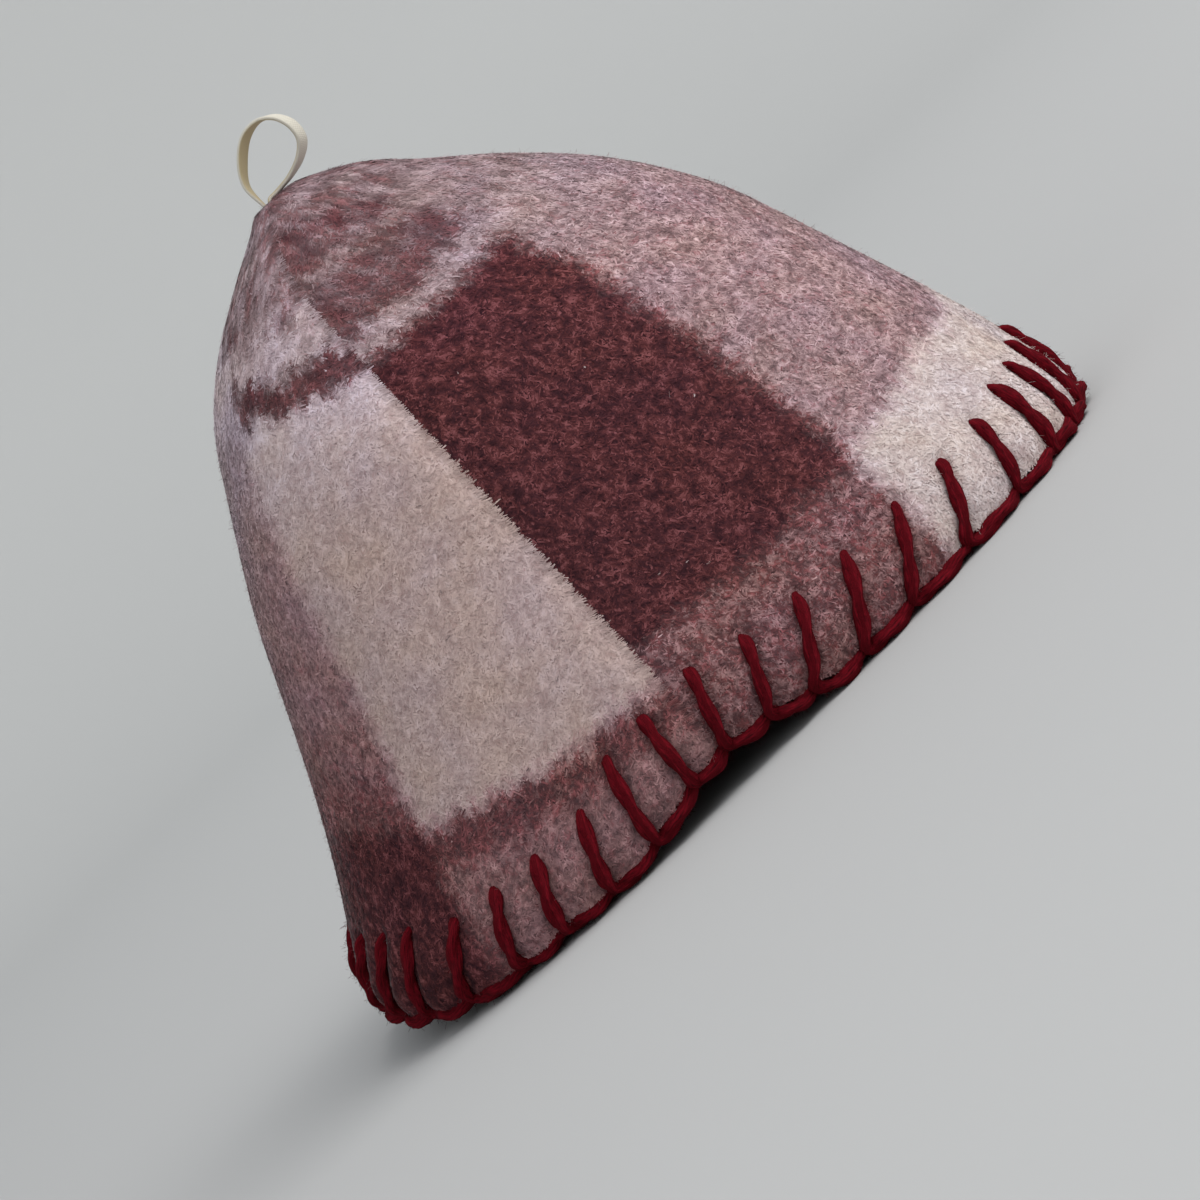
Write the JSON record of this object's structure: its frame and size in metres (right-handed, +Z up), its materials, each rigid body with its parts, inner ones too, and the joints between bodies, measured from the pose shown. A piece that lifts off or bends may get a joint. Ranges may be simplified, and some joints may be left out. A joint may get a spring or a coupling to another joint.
{
  "type": "sauna hat",
  "caption": "Bell-shaped sauna hat sewn from gores of plaid blanket cloth, with a blanket-stitched rim and a tape loop to hang it up by.",
  "frame": {"origin": "middle of the hat's rim, on the surface that the hat stands on", "axes": "+X to the forehead, +Y to the wearer's left, +Z up to the crown"},
  "size_m": [0.2876, 0.1932, 0.2376],
  "materials": {
    "plaid_felt": "brushed woollen blanket cloth in a plaid of burgundy, mauve and oatmeal, matt with a soft pile",
    "crimson_yarn": "thick plied woollen yarn, dark crimson, matt and slightly fuzzy",
    "ivory_tape": "flat woven cotton tape, ivory, matt"
  },
  "bodies": {
    "root": {"gore_front_left": "plaid_felt", "gore_back_left": "plaid_felt", "gore_back_right": "plaid_felt", "gore_front_right": "plaid_felt", "rim_yarn": "crimson_yarn", "hanging_loop": "ivory_tape"}
  },
  "joints": []
}
